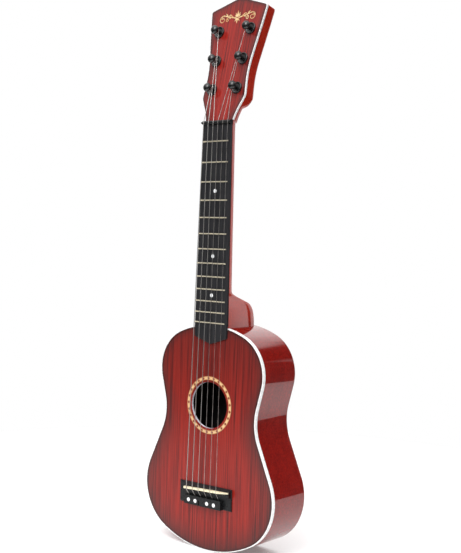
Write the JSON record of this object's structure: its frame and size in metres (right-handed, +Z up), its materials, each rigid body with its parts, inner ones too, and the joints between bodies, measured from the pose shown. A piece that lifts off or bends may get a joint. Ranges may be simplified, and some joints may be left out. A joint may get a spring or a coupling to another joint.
{
  "type": "small acoustic guitar",
  "caption": "Small six-string acoustic guitar with a waisted wooden body, round sound hole, fretted neck and friction tuning pegs that turn in the headstock.",
  "frame": {"origin": "on the ground under the middle of the guitar's bounding box, level with the lowest point of the tail", "axes": "+Z up the neck from the tail to the crown of the headstock, the soundboard faces -Y, +X to the right seen from the front"},
  "size_m": [0.1904, 0.0696, 0.634],
  "materials": {
    "face_wood": "gloss lacquer over brick-red stained wood with fine dark grain and darker edges",
    "red_gloss": "deep red high-gloss lacquer on wood",
    "white_binding": "satin white plastic strip",
    "rosette_print": "cream and gold transfer print under lacquer",
    "inner_timber": "raw planed wood",
    "fretboard_black": "satin black with faint grain",
    "black_plastic": "satin moulded black plastic",
    "saddle_cream": "satin cream plastic",
    "fret_metal": "pale polished fret wire",
    "string_wire": "plain and wound music wire"
  },
  "bodies": {
    "root": {"soundboard": "face_wood", "headstock_veneer": "face_wood", "back_plate": "red_gloss", "side_left": "red_gloss", "side_right": "red_gloss", "neck": "red_gloss", "body_binding": "white_binding", "headstock_binding": "white_binding", "bridge_dot_1": "white_binding", "bridge_dot_2": "white_binding", "bridge_dot_3": "white_binding", "bridge_dot_4": "white_binding", "rosette": "rosette_print", "lining_front": "inner_timber", "lining_back": "inner_timber", "neck_block": "inner_timber", "tail_block": "inner_timber", "brace_upper": "inner_timber", "brace_lower": "inner_timber", "fretboard": "fretboard_black", "nut": "black_plastic", "bridge": "black_plastic", "peg_bushing_1": "black_plastic", "peg_bushing_2": "black_plastic", "peg_bushing_3": "black_plastic", "peg_bushing_4": "black_plastic", "peg_bushing_5": "black_plastic", "peg_bushing_6": "black_plastic", "saddle": "saddle_cream", "fret_01": "fret_metal", "fret_02": "fret_metal", "fret_03": "fret_metal", "fret_04": "fret_metal", "fret_05": "fret_metal", "fret_06": "fret_metal", "fret_07": "fret_metal", "fret_08": "fret_metal", "fret_09": "fret_metal", "fret_10": "fret_metal", "fret_11": "fret_metal", "fret_12": "fret_metal", "fret_13": "fret_metal", "string_1": "string_wire", "string_2": "string_wire", "string_3": "string_wire", "string_4": "string_wire", "string_5": "string_wire", "string_6": "string_wire"},
    "peg_1": {"peg_post_1": "black_plastic", "peg_button_1": "black_plastic"},
    "peg_2": {"peg_post_2": "black_plastic", "peg_button_2": "black_plastic"},
    "peg_3": {"peg_post_3": "black_plastic", "peg_button_3": "black_plastic"},
    "peg_4": {"peg_post_4": "black_plastic", "peg_button_4": "black_plastic"},
    "peg_5": {"peg_post_5": "black_plastic", "peg_button_5": "black_plastic"},
    "peg_6": {"peg_post_6": "black_plastic", "peg_button_6": "black_plastic"}
  },
  "joints": [
    {"name": "peg_1_turn", "type": "hinge", "parent": "root", "child": "peg_1", "pos_m": [0.0183, -0.01594, 0.52602], "axis": [0, -0.9765, 0.2156], "continuous": true},
    {"name": "peg_2_turn", "type": "hinge", "parent": "root", "child": "peg_2", "pos_m": [0.0195, -0.00845, 0.5599], "axis": [0, -0.9765, 0.2156], "continuous": true},
    {"name": "peg_3_turn", "type": "hinge", "parent": "root", "child": "peg_3", "pos_m": [0.023, -0.00076, 0.59476], "axis": [0, -0.9765, 0.2156], "continuous": true},
    {"name": "peg_4_turn", "type": "hinge", "parent": "root", "child": "peg_4", "pos_m": [-0.023, -0.00076, 0.59476], "axis": [0, -0.9765, 0.2156], "continuous": true},
    {"name": "peg_5_turn", "type": "hinge", "parent": "root", "child": "peg_5", "pos_m": [-0.0195, -0.00845, 0.5599], "axis": [0, -0.9765, 0.2156], "continuous": true},
    {"name": "peg_6_turn", "type": "hinge", "parent": "root", "child": "peg_6", "pos_m": [-0.0183, -0.01594, 0.52602], "axis": [0, -0.9765, 0.2156], "continuous": true}
  ]
}
